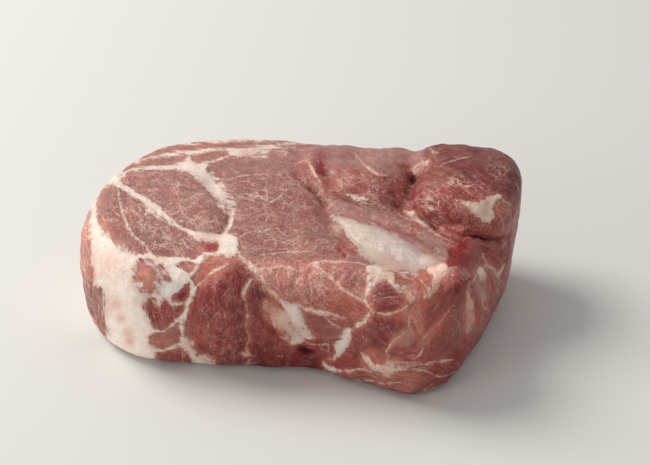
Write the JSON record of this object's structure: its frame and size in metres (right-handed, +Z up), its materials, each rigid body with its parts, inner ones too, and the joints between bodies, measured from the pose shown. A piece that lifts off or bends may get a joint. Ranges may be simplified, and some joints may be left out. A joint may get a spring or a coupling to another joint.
{
  "type": "raw bone-in pork shoulder roast",
  "caption": "Thick raw roast of several muscles with a fat cap at one end and a pale blade bone in its cut face.",
  "frame": {"origin": "on the table, under the middle of the roast", "axes": "+X along the roast, from the fat cap to the end with the high lobe; -Y the long side that faces the camera; +Z up from the base to the cut face"},
  "size_m": [0.2628, 0.164, 0.095],
  "materials": {
    "raw_meat": "moist raw lean meat with cream fat",
    "bone": "moist bone and membrane"
  },
  "bodies": {
    "root": {"meat": "raw_meat", "blade_bone": "bone"}
  },
  "joints": []
}
